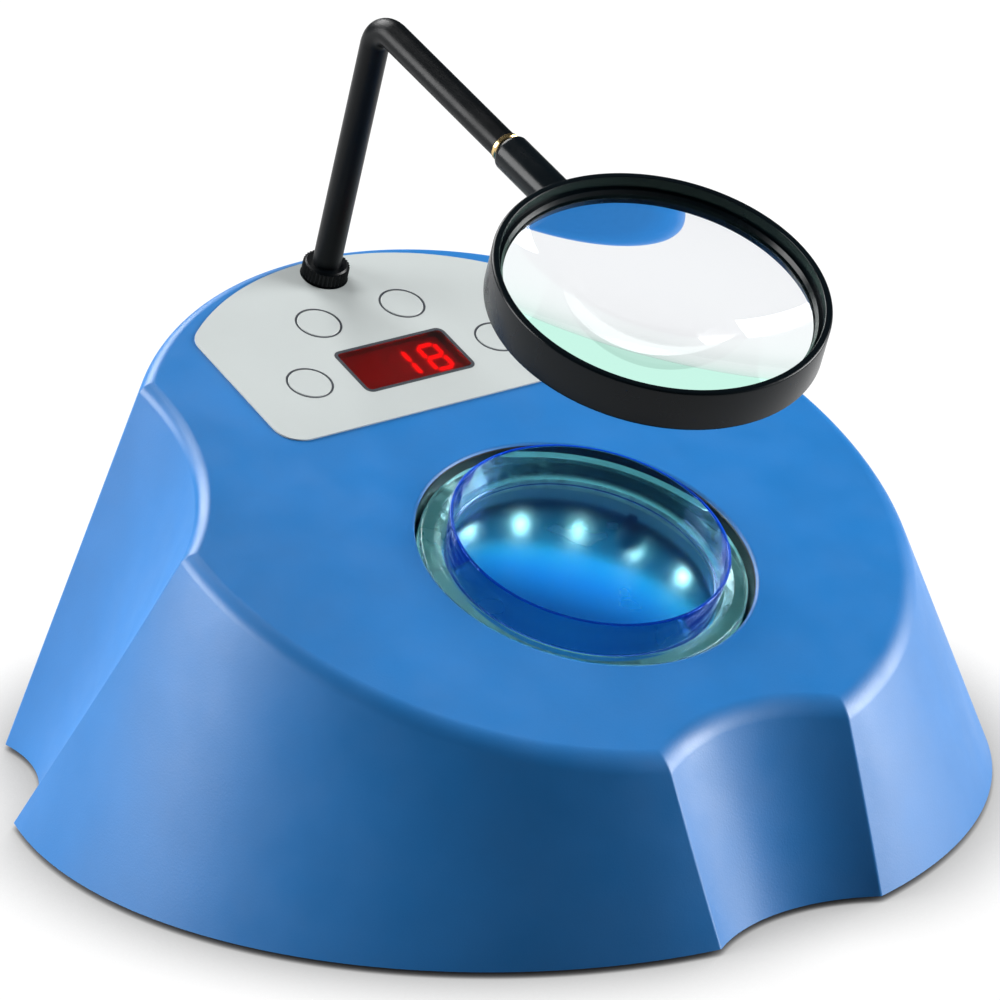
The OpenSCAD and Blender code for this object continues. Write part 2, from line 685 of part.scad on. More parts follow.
// Cranked bar: upright, bend and upper leg, with a tapped end for the steel spigot.
// The bend is thinner by a hair, so that the straight bars swallow its ends.
module arm_bar() {
    turn = 90 + leg_drop;
    set_back = bend_r * tan(turn / 2);
    lap = 0.3;
    color([0.03, 0.03, 0.04]) difference() {
        union() {
            on_arm() disc(arm_r, -arm_depth, arm_h - set_back + lap);
            on_arm() translate([0, -bend_r, arm_h - set_back]) rotate([90, 0, 90])
                rotate_extrude(angle = turn) translate([bend_r, 0]) circle(r = arm_r - 0.03);
            along_leg(set_back - lap) disc(arm_r, 0, ferrule_at - set_back + lap);
        }
        along_leg(ferrule_at) disc(core_r, -spigot_in, 1);
    }
}
module arm_spigot() {
    color([0.6, 0.61, 0.63]) along_leg(ferrule_at) disc(core_r, -spigot_in, spigot_to - ferrule_at);
}
module ferrule() {
    fr = arm_r + 0.35;
    color([0.85, 0.68, 0.32]) along_leg(ferrule_at) rotate_extrude() polygon([
        [core_r, 0], [fr - 0.4, 0], [fr, 0.4], [fr, ferrule_t - 0.4], [fr - 0.4, ferrule_t],
        [core_r, ferrule_t]]);
}
module lens_socket() {
    end = lens_reach - frame_r + 3;
    color([0.04, 0.04, 0.05]) difference() {
        along_leg(0) difference() {
            rotate_extrude() polygon([[0, socket_from], [socket_r - 1.4, socket_from],
                for (q = [60:-30:0]) [socket_r - 1.4 + 1.4 * cos(q),
                    socket_from + 1.8 - 1.8 * sin(q)],
                [socket_r, end], [0, end]]);
            disc(core_r + run_gap, socket_from - 1, spigot_to + 0.3);
        }
        on_lens() disc(frame_r, -20, 20);
    }
}
lens_edge = 3;
lens_r = frame_r - frame_t - 0.3;
lens_w = -1.6;                          // underside of the lens edge, from the frame's middle
module lens_frame() {
    h = frame_h / 2;
    color([0.04, 0.04, 0.05]) on_lens() rotate_extrude($fn = 160) polygon([
        [frame_r - frame_t, h], [frame_r - frame_t + 0.5, h + 0], [frame_r - 0.9, h],
        [frame_r - 0.25, h - 0.3], [frame_r - 0.1, h - 1], [frame_r, -h + 1],
        [frame_r - 0.2, -h + 0.3], [frame_r - 0.8, -h], [frame_r - 4.2, -h],
        [frame_r - 4.6, -h + 0.4], [frame_r - 5, lens_w], [frame_r - frame_t, lens_w]]);
}
function lens_sag(r) = sqrt(lens_curve * lens_curve - r * r)
    - sqrt(lens_curve * lens_curve - lens_r * lens_r);
module lens() {
    steps = 14;
    color([0.85, 0.92, 0.95, 0.3]) on_lens() translate([0, 0, lens_w]) rotate_extrude($fn = 128)
        polygon(concat(
            [for (i = [0:steps]) let (r = lens_r * i / steps) [r, -lens_sag(r)]],
            [for (i = [steps:-1:0]) let (r = lens_r * i / steps) [r, lens_edge + lens_sag(r)]]));
}
module lens_retainer() {
    low = lens_w + lens_edge;
    out = frame_r - frame_t;
    color([0.05, 0.05, 0.06]) on_lens() rotate_extrude($fn = 160) polygon([
        [out - 2, low + 0.3], [out, low + 0.1], [out, low + 1.6], [out - 1.2, low + 1.6]]);
}

// ---- Rear connectors ----

module on_rear(x) { translate([x, plate_y, conn_z]) rotate([-90, 0, 0]) children(); }
module connector_plate() {
    color([0.2, 0.21, 0.22]) difference() {
        on_rear(0) slab(2 * recess_hw - 0.4, recess_h - 0.4, -cplate_t, 0);
        on_rear(inlet_x) slab(inlet_body.x + 0.4, inlet_body.y + 0.4, -5, 5);
        on_rear(inlet_x) for (s = [-1, 1]) translate([s * inlet_fix, 0, 0]) disc(screw_r + 0.2, -5, 5);
        on_rear(switch_x) slab(14.2, 20.4, -5, 5);
        on_rear(serial_x) slab(19.4, 11.4, -5, 5);
        on_rear(serial_x) for (s = [-1, 1]) translate([s * post_at, 0, 0]) disc(screw_r + 0.2, -5, 5);
        on_rear(0) for (sx = [-1, 1], sy = [-1, 1])
            translate([sx * cplate_fix.x, sy * cplate_fix.y, 0]) disc(screw_r + 0.2, -5, 5);
    }
}
module connector_screws() {
    color([0.7, 0.7, 0.72]) {
        on_rear(0) for (sx = [-1, 1], sy = [-1, 1])
            translate([sx * cplate_fix.x, sy * cplate_fix.y, 0]) screw(screw_r, 2.8, 1.6, 5);
        on_rear(inlet_x) for (s = [-1, 1])
            translate([s * inlet_fix, 0, 3]) screw(screw_r, 2.8, 1.6, 8);
    }
}
module power_inlet() {
    color([0.06, 0.06, 0.07]) on_rear(inlet_x) difference() {
        union() {
            linear_extrude(3) round_rect(inlet_size.x, inlet_size.y, 4);
            slab(inlet_body.x, inlet_body.y, -inlet_depth, eps);
        }
        translate([0, 0, 3 - inlet_depth]) linear_extrude(inlet_depth + 1) polygon([
            [-inlet_hole.x / 2, inlet_hole.y / 2], [inlet_hole.x / 2, inlet_hole.y / 2],
            [inlet_hole.x / 2, -inlet_hole.y / 2 + 4], [inlet_hole.x / 2 - 4, -inlet_hole.y / 2],
            [-inlet_hole.x / 2 + 4, -inlet_hole.y / 2], [-inlet_hole.x / 2, -inlet_hole.y / 2 + 4]]);
        for (s = [-1, 1]) translate([s * inlet_fix, 0, 0]) disc(screw_r + 0.2, -1, 5);
        inlet_blades() slab(2, 4, -inlet_depth - 1, 4 - inlet_depth);
    }
}
module inlet_blades() {
    for (p = [[-7, 2], [7, 2], [0, -2]]) translate([p.x, p.y, 0]) children();
}
module inlet_pins() {
    color([0.75, 0.76, 0.78]) on_rear(inlet_x) inlet_blades()
        slab(2, 4, -inlet_depth - 6, 1);
}
module rocker_bezel() {
    color([0.06, 0.06, 0.07]) on_rear(switch_x) difference() {
        union() {
            linear_extrude(2) round_rect(bezel_out.x, bezel_out.y, 1.5);
            slab(13.8, 20, -15, eps);
        }
        slab(bezel_in.x, bezel_in.y, -9, 5);
        rocker_axis() cylinder(r = trunnion_r + run_gap, h = 20, center = true);
    }
}
module rocker_axis() { translate([0, 0, -1]) rotate([0, 90, 0]) children(); }
module power_rocker() {
    color([0.08, 0.08, 0.09]) on_rear(switch_x) {
        translate([-rocker_size.x / 2, 0, -1])
            rotate([rocker_tilt, 0, 0]) rotate([90, 0, 90]) linear_extrude(rocker_size.x)
                polygon([[-5, -5], [5, -5], [rocker_size.y / 2, 0.5], [rocker_size.y / 2, 4.4],
                    [rocker_size.y / 4, 3.2], [0, 2.8], [-rocker_size.y / 4, 3.2],
                    [-rocker_size.y / 2, 4.4], [-rocker_size.y / 2, 0.5]]);
        rocker_axis() cylinder(r = trunnion_r, h = bezel_in.x + 1.2, center = true);
    }
}
// Outline of a nine-way D connector, grown by g
module d_shape(g) {
    polygon([[-8.4 - g, 4.1 + g], [8.4 + g, 4.1 + g], [7.0 + g, -4.1 - g], [-7.0 - g, -4.1 - g]]);
}
module serial_port() {
    color([0.72, 0.73, 0.75]) on_rear(serial_x) difference() {
        union() {
            linear_extrude(1) difference() {
                round_rect(30.8, 12.5, 2);
                for (s = [-1, 1]) translate([s * post_at, 0]) circle(r = screw_r + 0.2);
            }
            slab(19, 11, -8, eps);
            linear_extrude(6) d_shape(0);
        }
        for (i = [0:8]) translate([(i < 5 ? i - 2 : i - 6.5) * 2.77, i < 5 ? 1.42 : -1.42, 0])
            disc(0.6, 2, 7);
    }
}
module jack_posts() {
    color([0.8, 0.8, 0.82]) on_rear(serial_x) for (s = [-1, 1]) translate([s * post_at, 0, 0])
        difference() {
            union() {
                translate([0, 0, 1]) cylinder(r = post_r, h = 5, $fn = 6);
                disc(screw_r, -6, 1 + eps);
            }
            disc(1.2, 1.5, 7);
        }
}

// ---- Power supply and wiring ----

module power_board() {
    color([0.05, 0.35, 0.15]) difference() {
        translate([0, supply_y, 0]) slab(supply.x, supply.y, supply_z, supply_top);
        supply_posts() disc(screw_r + 0.2, 0, 40);
    }
}
module transformer() {
    translate([-16, supply_y, 0]) {
        color([0.35, 0.35, 0.37]) difference() {
            slab(coil.x, coil.y, supply_top, supply_top + coil.z);
            translate([0, 0, supply_top + 4]) for (s = [-1, 1])
                translate([s * coil.x / 4 - 4, -coil.y / 2 - 1, 0]) cube([8, coil.y + 2, coil.z - 8]);
        }
        color([0.8, 0.7, 0.2]) difference() {
            slab(coil.x - 6, coil.y + 10, supply_top + 4.2, supply_top + coil.z - 4.2);
            slab(coil.x + 2, coil.y, supply_top, supply_top + coil.z);
        }
    }
}
module supply_parts() {
    color([0.12, 0.14, 0.2]) for (dy = [-14, 2])
        translate([18, supply_y + dy, 0]) disc(6.3, supply_top, supply_top + 20);
    color([0.7, 0.71, 0.72]) translate([32, supply_y - 6, 0]) for (i = [-2:2])
        translate([0, i * 4, 0]) slab(8, 1.2, supply_top, supply_top + 16);
    color([0.7, 0.71, 0.72]) translate([32, supply_y - 6, 0])
        slab(8, 18, supply_top, supply_top + 3);
    color([0.9, 0.9, 0.85]) translate([26, supply_y + 22, 0]) slab(16, 7, supply_top, supply_top + 8);
}
// Flat cable from the control board's header down to the supply board's
module ribbon_cable() {
    color([0.55, 0.56, 0.58]) {
        on_top() translate([30, board_v[1] - 8, 0])
            slab(14, 6, board_w - board_t - 6, board_w - board_t);
        translate([23.5, 0, 0]) rotate([90, 0, 90]) linear_extrude(13) ribbon_path();
    }
}
head_y = (board_v[1] - 8) * cos(top_tilt) - (board_w - board_t - 5) * sin(top_tilt);
head_z = foot_gap + top_h + (board_v[1] - 8) * sin(top_tilt)
    + (board_w - board_t - 5) * cos(top_tilt);
module ribbon_path() {
    foot = [supply_y + 22, supply_top + 8];
    polygon([[head_y - 0.5, head_z], [head_y - 0.5, head_z - 14], [foot.x - 0.5, foot.y + 20],
        foot + [-0.5, 0], foot + [0.5, 0], [foot.x + 0.5, foot.y + 20.3],
        [head_y + 0.5, head_z - 13.7], [head_y + 0.5, head_z]]);
}
// Insulated leads from the switch to the terminal block, held by their tags at both ends
module mains_leads() {
    color([0.35, 0.2, 0.1]) for (dx = [-3, 3])
        lead([switch_x + dx, plate_y - 15, conn_z - 2], [26 + dx, supply_y + 25.5, supply_top + 5]);
}
module lead(a, b) {
    d = b - a;
    translate(a) rotate([0, acos(d.z / norm(d)), atan2(d.y, d.x)]) cylinder(r = 1.1, h = norm(d));
}

top_cover();
base_plate();
rubber_feet();
base_screws();
control_panel();
display_window();
display_digits();
display_module();
control_board();
key_switches();
buzzer();
board_screws();
key_front_left();
key_front_right();
key_rear_left();
key_rear_right();
light_chamber();
chamber_screws();
field_disc();
led_strip();
leds();
platform_pads();
press_switch();
platform_carrier();
count_plate();
dish_ring();
petri_dish();
arm_socket();
arm_collet();
knurled_collar();
arm_bar();
arm_spigot();
ferrule();
lens_socket();
lens_frame();
lens();
lens_retainer();
connector_plate();
connector_screws();
power_inlet();
inlet_pins();
rocker_bezel();
power_rocker();
serial_port();
jack_posts();
power_board();
transformer();
supply_parts();
ribbon_cable();
mains_leads();
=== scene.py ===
"""Bench colony counter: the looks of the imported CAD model, for Blender 4.5.

Sizes are those of part.scad, in mm and degrees, unless a comment says otherwise.
Blender's own scene is in metres.
"""
import math
import bmesh
import bpy
from mathutils import Matrix, Vector


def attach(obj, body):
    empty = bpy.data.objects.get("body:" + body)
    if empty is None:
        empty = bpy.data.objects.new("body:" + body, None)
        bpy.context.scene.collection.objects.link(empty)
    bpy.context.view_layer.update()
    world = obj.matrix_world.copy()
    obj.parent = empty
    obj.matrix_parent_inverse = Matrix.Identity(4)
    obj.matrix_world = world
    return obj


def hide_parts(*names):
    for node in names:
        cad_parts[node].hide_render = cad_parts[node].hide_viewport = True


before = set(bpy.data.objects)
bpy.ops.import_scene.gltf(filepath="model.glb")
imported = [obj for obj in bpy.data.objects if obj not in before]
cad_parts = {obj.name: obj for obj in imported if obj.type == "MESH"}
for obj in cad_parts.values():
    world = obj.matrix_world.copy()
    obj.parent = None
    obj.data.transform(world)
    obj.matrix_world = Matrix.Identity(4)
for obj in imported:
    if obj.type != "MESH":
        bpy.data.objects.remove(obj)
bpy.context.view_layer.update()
MM = 0.001


def cosd(deg):
    return math.cos(math.radians(deg))


def sind(deg):
    return math.sin(math.radians(deg))


# ---- Frames of the object ----

def turn(deg, axis):
    return Matrix.Rotation(math.radians(deg), 4, axis)


def shift(x, y, z):
    return Matrix.Translation((x * MM, y * MM, z * MM))


TOP_H = 104
TOP_TILT = 20
FOOT_GAP = 2
WELL_V = -51.7
ARM_V = 100.2
ARM_H = 100
SWIVEL = 2.2
LEG_DROP = 2.3
LENS_REACH = 148.4
LENS_ROLL = -2.3
TOP = shift(0, 0, TOP_H + FOOT_GAP) @ turn(TOP_TILT, "X")
WELL = TOP @ shift(0, WELL_V, 0)
ARM = TOP @ shift(0, ARM_V, 0) @ turn(SWIVEL, "Z")
LEG = ARM @ shift(0, 0, ARM_H) @ turn(LEG_DROP, "X")
LENS = LEG @ shift(0, -LENS_REACH, 0) @ turn(LENS_ROLL, "Y")
ALONG_LEG = LEG @ turn(90, "X")


# ---- Node trees ----

NOISE_LOW, NOISE_HIGH = 0.3, 0.7  # noise mostly stays between these
BUMP_H = 0.0001  # metres
WHITE = (1, 1, 1, 1)
PRINCIPLED = {
    "color": "Base Color", "rough": "Roughness", "metal": "Metallic", "ior": "IOR",
    "transmission": "Transmission Weight", "specular": "Specular IOR Level",
    "gloss_tint": "Specular Tint", "glow": "Emission Color",
}


class Nodes:
    """Node tree of a material or world, with short calls that add nodes and links."""

    def __init__(self, owner, out="ShaderNodeOutputMaterial"):
        self.owner = owner
        owner.use_nodes = True
        self.tree = owner.node_tree
        self.tree.nodes.clear()
        self.out = self.add(out)

    def add(self, kind, values=(), **props):
        node = self.tree.nodes.new(kind)
        for key, value in props.items():
            setattr(node, key, value)
        for key, value in dict(values).items():
            node.inputs[key].default_value = value
        return node

    def link(self, a, b):
        self.tree.links.new(a, b)

    def coords(self):
        return self.add("ShaderNodeTexCoord").outputs["Object"]

    def math(self, operation, *values):
        """Math node whose inputs are sockets or numbers."""
        node = self.add("ShaderNodeMath", operation=operation)
        for value, socket in zip(values, node.inputs):
            if isinstance(value, (int, float)):
                socket.default_value = value
            else:
                self.link(value, socket)
        return node.outputs["Value"]

    def noise(self, scale, detail, rough=0.5, vector=None):
        node = self.add("ShaderNodeTexNoise",
                        {"Scale": scale, "Detail": detail, "Roughness": rough})
        self.link(vector or self.coords(), node.inputs["Vector"])
        return node.outputs["Fac"]

    def ramp(self, fac, stops):
        node = self.add("ShaderNodeValToRGB")
        ramp = node.color_ramp
        while len(ramp.elements) < len(stops):
            ramp.elements.new(0.5)
        for element, (pos, color) in zip(ramp.elements, stops):
            element.position = pos
            element.color = (*color, 1)
        self.link(fac, node.inputs["Fac"])
        return node.outputs["Color"]

    def map_range(self, value, from_min, from_max, to_min, to_max):
        node = self.add("ShaderNodeMapRange", {"From Min": from_min, "From Max": from_max,
                                               "To Min": to_min, "To Max": to_max})
        self.link(value, node.inputs["Value"])
        return node.outputs["Result"]

    def spread(self, fac, low, high):
        """Spreads noise over the values from low to high."""
        return self.map_range(fac, NOISE_LOW, NOISE_HIGH, low, high)

    def bump(self, fac, strength):
        node = self.add("ShaderNodeBump", {"Strength": strength, "Distance": BUMP_H})
        self.link(fac, node.inputs["Height"])
        return node.outputs["Normal"]

    def principled(self, **values):
        node = self.add("ShaderNodeBsdfPrincipled")
        for key, value in values.items():
            if isinstance(value, tuple):
                value = (*value, 1)
            node.inputs[PRINCIPLED[key]].default_value = value
        self.surface(node.outputs["BSDF"])
        return node

    def mix(self, share, a, b):
        node = self.add("ShaderNodeMixShader")
        for value, socket in zip((share, a, b), node.inputs):
            self.link(value, socket)
        return node.outputs["Shader"]

    def surface(self, shader):
        self.link(shader, self.out.inputs["Surface"])


def new_material(name):
    return Nodes(bpy.data.materials.new(name))


# ---- Materials ----

def moulded(name, color, rough, vary=0.05, grain=900, bump=0.2, specular=0.5,
            rough_span=0.05):
    """Moulded or painted surface: faint mottling, fine grain and uneven gloss."""
    n = new_material(name)
    dark = tuple(c * (1 - vary) for c in color)
    light = tuple(min(c * (1 + vary), 1) for c in color)
    shader = n.principled(specular=specular)
    n.link(n.ramp(n.noise(scale=35, detail=3), [(NOISE_LOW, dark), (NOISE_HIGH, light)]),
           shader.inputs["Base Color"])
    n.link(n.spread(n.noise(scale=60, detail=4), rough - rough_span, rough + rough_span),
           shader.inputs["Roughness"])
    n.link(n.bump(n.noise(scale=grain, detail=3, rough=0.6), bump), shader.inputs["Normal"])
    return n.owner


STREAK_DARK = 0.88
STREAK_ROUGH = 0.25


def metal(name, color, rough, streaks=(400, 400, 20)):
    """Turned or rolled metal: fine streaks in colour, gloss and bump."""
    n = new_material(name)
    shader = n.principled(metal=1.0)
    mapping = n.add("ShaderNodeMapping", {"Scale": streaks})
    n.link(n.coords(), mapping.inputs["Vector"])
    fac = n.noise(scale=1.0, detail=4, rough=0.6, vector=mapping.outputs["Vector"])
    dark = tuple(c * STREAK_DARK for c in color)
    n.link(n.ramp(fac, [(NOISE_LOW, dark), (NOISE_HIGH, color)]), shader.inputs["Base Color"])
    n.link(n.spread(fac, rough * (1 - STREAK_ROUGH), rough * (1 + STREAK_ROUGH)),
           shader.inputs["Roughness"])
    n.link(n.bump(fac, strength=0.1), shader.inputs["Normal"])
    return n.owner


TOTAL_REFLECTION = 0.9  # Fresnel share above which a surface counts as reflecting totally


def clear(name, color, rough=0.02, ior=1.5, haze=0.0, tint=None, density=0.0,
          gloss_tint=(1.0, 1.0, 1.0), painted_glow=(0.0, 0.0, 0.0), painted_glow_strength=0.0):
    """Clear plastic or glass with very faint flow marks; tint colours it by its depth.
    Where its surface reflects totally, it gets a painted glow, for the light that it carries
    inside."""
    n = new_material(name)
    if tint:
        body = n.add("ShaderNodeVolumeAbsorption", {"Color": (*tint, 1), "Density": density})
        n.link(body.outputs["Volume"], n.out.inputs["Volume"])
    shader = n.principled(color=color, transmission=1.0, ior=ior, gloss_tint=gloss_tint,
                          glow=painted_glow)
    if painted_glow_strength:
        fresnel = n.add("ShaderNodeFresnel", {"IOR": ior}).outputs["Fac"]
        total = n.math("GREATER_THAN", fresnel, TOTAL_REFLECTION)
        n.link(n.math("MULTIPLY", total, painted_glow_strength), shader.inputs["Emission Strength"])
    n.link(n.spread(n.noise(scale=40, detail=2), rough, rough + haze), shader.inputs["Roughness"])
    return n.owner


def glowing(name, color, strength, dim=0.8, scale=300):
    """Lit surface whose strength falls to dim of itself in places."""
    n = new_material(name)
    shader = n.principled(color=color, rough=0.4, glow=color)
    n.link(n.spread(n.noise(scale, detail=2), strength * dim, strength),
           shader.inputs["Emission Strength"])
    return n.owner


FIELD_W = -48.2  # height of the field disc in the well's frame
FIELD_SCALE = 14.5  # places on the colour ramp per metre from the middle
FIELD_WOBBLE = 0.012  # metres
# Colours of the disc's painted glow along the ramp, from the middle outwards
FIELD_STOPS = [(0.0, (0.004, 0.40, 0.95)), (0.45, (0.003, 0.27, 0.80)),
               (0.8, (0.004, 0.30, 0.78)), (1.0, (0.03, 0.58, 0.78))]
# Span towards the right and rear, in metres, and the strength of the disc's painted glow at its
# two ends
FIELD_PAINTED_LIGHT = (0.026, 0.080, 0.18, 1.6)


def field_glow():
    """Blue floor under the dish with painted light, as it glows though it is no lamp: stronger
    to the right and rear, a bright middle, deeper blue round it and a pale rim."""
    n = new_material("field_glow")
    shader = n.principled(rough=0.45, color=(0.004, 0.12, 0.45), specular=0.2)
    middle = WELL @ Vector((0, 0, FIELD_W * MM))
    mapping = n.add("ShaderNodeMapping", {"Location": tuple(-c for c in middle)})
    n.link(n.coords(), mapping.inputs["Vector"])
    length = n.add("ShaderNodeVectorMath", operation="LENGTH")
    n.link(mapping.outputs["Vector"], length.inputs[0])
    reach = n.math("MULTIPLY_ADD", n.noise(scale=30, detail=3), FIELD_WOBBLE,
                   length.outputs["Value"])
    n.link(n.ramp(n.math("MULTIPLY", reach, FIELD_SCALE), FIELD_STOPS),
           shader.inputs["Emission Color"])
    along = n.add("ShaderNodeSeparateXYZ")
    n.link(mapping.outputs["Vector"], along.inputs[0])
    across = n.math("ADD", along.outputs["X"], along.outputs["Y"])
    n.link(n.map_range(across, *FIELD_PAINTED_LIGHT), shader.inputs["Emission Strength"])
    return n.owner


PANEL_GREY = (0.47, 0.505, 0.50)
DISPLAY_RED = (0.5, 0.002, 0.002)
# Painted reflection: blue tint on the gloss of the clear dish and plate, for the blue light round
# them
PAINTED_BLUE_REFLECTION = (0.10, 0.42, 1.0)
M = {
    # Housing
    "body": moulded("body_paint", (0.010, 0.158, 0.455), 0.42, grain=1500, bump=0.35),
    # Painted shade: near-black for the shaded gap of the well, on the cover's bore and on the
    # skirt
    "well": moulded("well_painted_shade", (0.004, 0.005, 0.007), 0.4, vary=0.2),
    "base": moulded("base_paint", (0.06, 0.062, 0.068), 0.55, vary=0.1),
    "rubber": moulded("foot_rubber", (0.012, 0.012, 0.012), 0.8, vary=0.15, grain=600,
                      bump=0.5),
    "dark_metal": moulded("rear_plate", (0.02, 0.021, 0.023), 0.5, vary=0.1, bump=0.4),
    # Panel and display
    "panel": moulded("panel_foil", PANEL_GREY, 0.5, vary=0.015, grain=2200),
    "key": moulded("key_foil", PANEL_GREY, 0.45, vary=0.015, grain=2200),
    "ink": moulded("dark_ink", (0.035, 0.04, 0.05), 0.5, vary=0.1),
    "window": clear("window_red", (0.55, 0.006, 0.006), 0.27, 1.45, haze=0.04),
    # Painted glow: the display's back and its unlit segments glow faint red, though they are no
    # lamps
    "display_back": glowing("display_back", DISPLAY_RED, 0.12, dim=0.6, scale=60),
    "digit_off": glowing("digit_off", DISPLAY_RED, 0.10, dim=0.6, scale=60),
    "digit_lit": glowing("digit_lit", (1.0, 0.02, 0.012), 2.4, dim=0.85),
    # Arm and magnifier
    "black": moulded("black_plastic", (0.0015, 0.004, 0.006), 0.26, vary=0.15, grain=700,
                     bump=0.12, specular=0.17, rough_span=0.04),
    "arm": moulded("arm_paint", (0.001, 0.002, 0.003), 0.36, vary=0.2, grain=1200,
                   bump=0.4, specular=0.15),
    # Painted glow: the lens glows pale green where its faces reflect totally, for the light that
    # the glass carries
    "lens": clear("lens_glass", (0.95, 0.965, 0.985), 0.0, painted_glow=(0.60, 0.95, 0.81),
                  painted_glow_strength=0.21),
    # Painted glow of the lens's ground edge
    "painted_edge_glow": glowing("painted_edge_glow", (0.78, 0.97, 0.88), 0.85, dim=0.75, scale=120),
    # Metals
    "screw": metal("screw_steel", (0.62, 0.63, 0.65), 0.3),
    "brass": metal("brass", (0.78, 0.56, 0.25), 0.22, streaks=(1500, 1500, 40)),
    "steel": metal("plain_steel", (0.5, 0.51, 0.53), 0.3),
    "contact": metal("plated_contact", (0.72, 0.73, 0.75), 0.25),
    # Inside
    "board": moulded("board_green", (0.015, 0.11, 0.04), 0.35, vary=0.15),
    "parts": moulded("supply_parts", (0.03, 0.03, 0.045), 0.35, vary=0.2),
    "grey_cable": moulded("grey_cable", (0.22, 0.23, 0.24), 0.5),
    "brown_lead": moulded("brown_lead", (0.10, 0.03, 0.01), 0.4),
    "chamber": moulded("chamber_wall", (0.010, 0.14, 0.20), 0.22, vary=0.15, grain=120,
                       bump=0.1),
    "ledge": moulded("lamp_ledge", (0.035, 0.36, 0.38), 0.22, vary=0.1, grain=120,
                     bump=0.1),
    # Dish and what is seen through it
    # Painted light: the dish is clear, but gets a blue colour, a blue depth tint, blue
    # reflections and a blue glow for the blue light of the well
    "dish": clear("dish_plastic", (0.72, 0.92, 1.0), 0.0, 1.45, tint=(0.02, 0.25, 0.95),
                  density=110, gloss_tint=PAINTED_BLUE_REFLECTION, painted_glow=(0.002, 0.09, 0.70),
                  painted_glow_strength=0.07),
    # Painted light: the ring's reflections are tinted green and it glows where its faces reflect
    # totally
    "ring": clear("ring_plastic", (0.86, 1.0, 0.98), 0.02, 1.45, tint=(0.4, 0.95, 0.9),
                  density=10, gloss_tint=(0.75, 1.0, 0.95), painted_glow=(0.25, 0.75, 0.72),
                  painted_glow_strength=0.32),
    # Painted reflection: the plate's gloss is tinted blue
    "plate": clear("plate_plastic", (0.84, 0.96, 1.0), 0.22, 1.3, haze=0.06,
                   gloss_tint=PAINTED_BLUE_REFLECTION),
    "carrier": moulded("carrier", (0.32, 0.58, 0.58), 0.3, vary=0.1),
    "lamp": glowing("lamp", (0.72, 1.0, 0.85), 8, dim=0.9),
    "field": field_glow(),
}


# ---- Pieces made in mesh code ----

ON_AXIS = 1e-6  # a smaller radius counts as none
ROUND_STEPS = 5
CORNER_STEPS = 8
CIRCLE_STEPS = 96


def scratch(name, mesh):
    obj = bpy.data.objects.new(name, mesh)
    bpy.context.collection.objects.link(obj)
    return obj


def piece(name, mesh, body, material, replaced=(), angle=35):
    """Adds a finished mesh as a piece on a body, smooth except at its sharp edges."""
    obj = scratch(name, mesh)
    mesh.materials.clear()
    mesh.materials.append(material)
    mesh.polygons.foreach_set("use_smooth", [True] * len(mesh.polygons))
    mesh.set_sharp_from_angle(angle=math.radians(angle))
    mesh.update()
    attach(obj, body)
    if replaced:
        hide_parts(*replaced)
    return obj


def new_mesh(name, bm):
    mesh = bpy.data.meshes.new(name)
    bm.to_mesh(mesh)
    bm.free()
    return mesh


def solid(name, bm):
    """Mesh of a closed surface, with its faces turned outwards."""
    bmesh.ops.recalc_face_normals(bm, faces=bm.faces)
    return new_mesh(name, bm)


def row(bm, points, place=Matrix()):
    return [bm.verts.new(place @ Vector((x * MM, y * MM, z * MM))) for x, y, z in points]


def skin(bm, rows):
    """Faces between neighbouring closed rows, which may shrink to one vertex."""
    count = len(rows[0])
    for low, high in zip(rows, rows[1:]):
        for i in range(count):
            j = (i + 1) % count
            corners = []
            for v in (low[i], low[j], high[j], high[i]):
                if v not in corners:
                    corners.append(v)
            if len(corners) > 2:
                bm.faces.new(corners)


def lathe_mesh(name, profile, place, steps):
    """Solid of revolution about the frame's z, from (radius, height) points. A profile
    that starts on the axis ends there too, and any other one makes a ring."""
    bm = bmesh.new()
    rows = []
    for r, z in profile:
        if abs(r) < ON_AXIS:
            rows.append([bm.verts.new(place @ Vector((0, 0, z * MM)))] * steps)
        else:
            rows.append([bm.verts.new(place @ Vector((
                r * MM * math.cos(math.tau * i / steps),
                r * MM * math.sin(math.tau * i / steps), z * MM))) for i in range(steps)])
    if abs(profile[0][0]) >= ON_AXIS:
        rows.append(rows[0])
    skin(bm, rows)
    return solid(name, bm)


def slab_mesh(name, outline, low, high, place):
    """Prism over a closed outline."""
    bm = bmesh.new()
    rows = [row(bm, [(x, y, z) for x, y in outline], place) for z in (low, high)]
    bm.faces.new(rows[0][::-1])
    bm.faces.new(rows[1])
    skin(bm, rows)
    return solid(name, bm)


def rings_mesh(name, rings, lift):
    """Closed solid through rings with the same number of points, ends capped."""
    bm = bmesh.new()
    rows = [row(bm, [(x, y, z + lift) for x, y, z in ring]) for ring in rings]
    skin(bm, rows)
    bm.faces.new(rows[0][::-1])
    bm.faces.new(rows[-1])
    return solid(name, bm)


def line_mesh(name, outer, inner, low, high, place):
    """Flat frame between two outlines with the same number of points."""
    bm = bmesh.new()
    rows = [row(bm, [(x, y, z) for x, y in outline], place)
            for outline, z in ((outer, low), (inner, low), (inner, high), (outer, high))]
    skin(bm, rows + rows[:1])
    return solid(name, bm)


def box_mesh(name, low, high):
    bm = bmesh.new()
    bmesh.ops.create_cube(bm, size=1)
    for v in bm.verts:
        v.co = Vector([(low[k] + (v.co[k] + 0.5) * (high[k] - low[k])) * MM
                       for k in range(3)])
    return solid(name, bm)


def joined(name, meshes):
    bm = bmesh.new()
    for mesh in meshes:
        bm.from_mesh(mesh)
        bpy.data.meshes.remove(mesh)
    return new_mesh(name, bm)


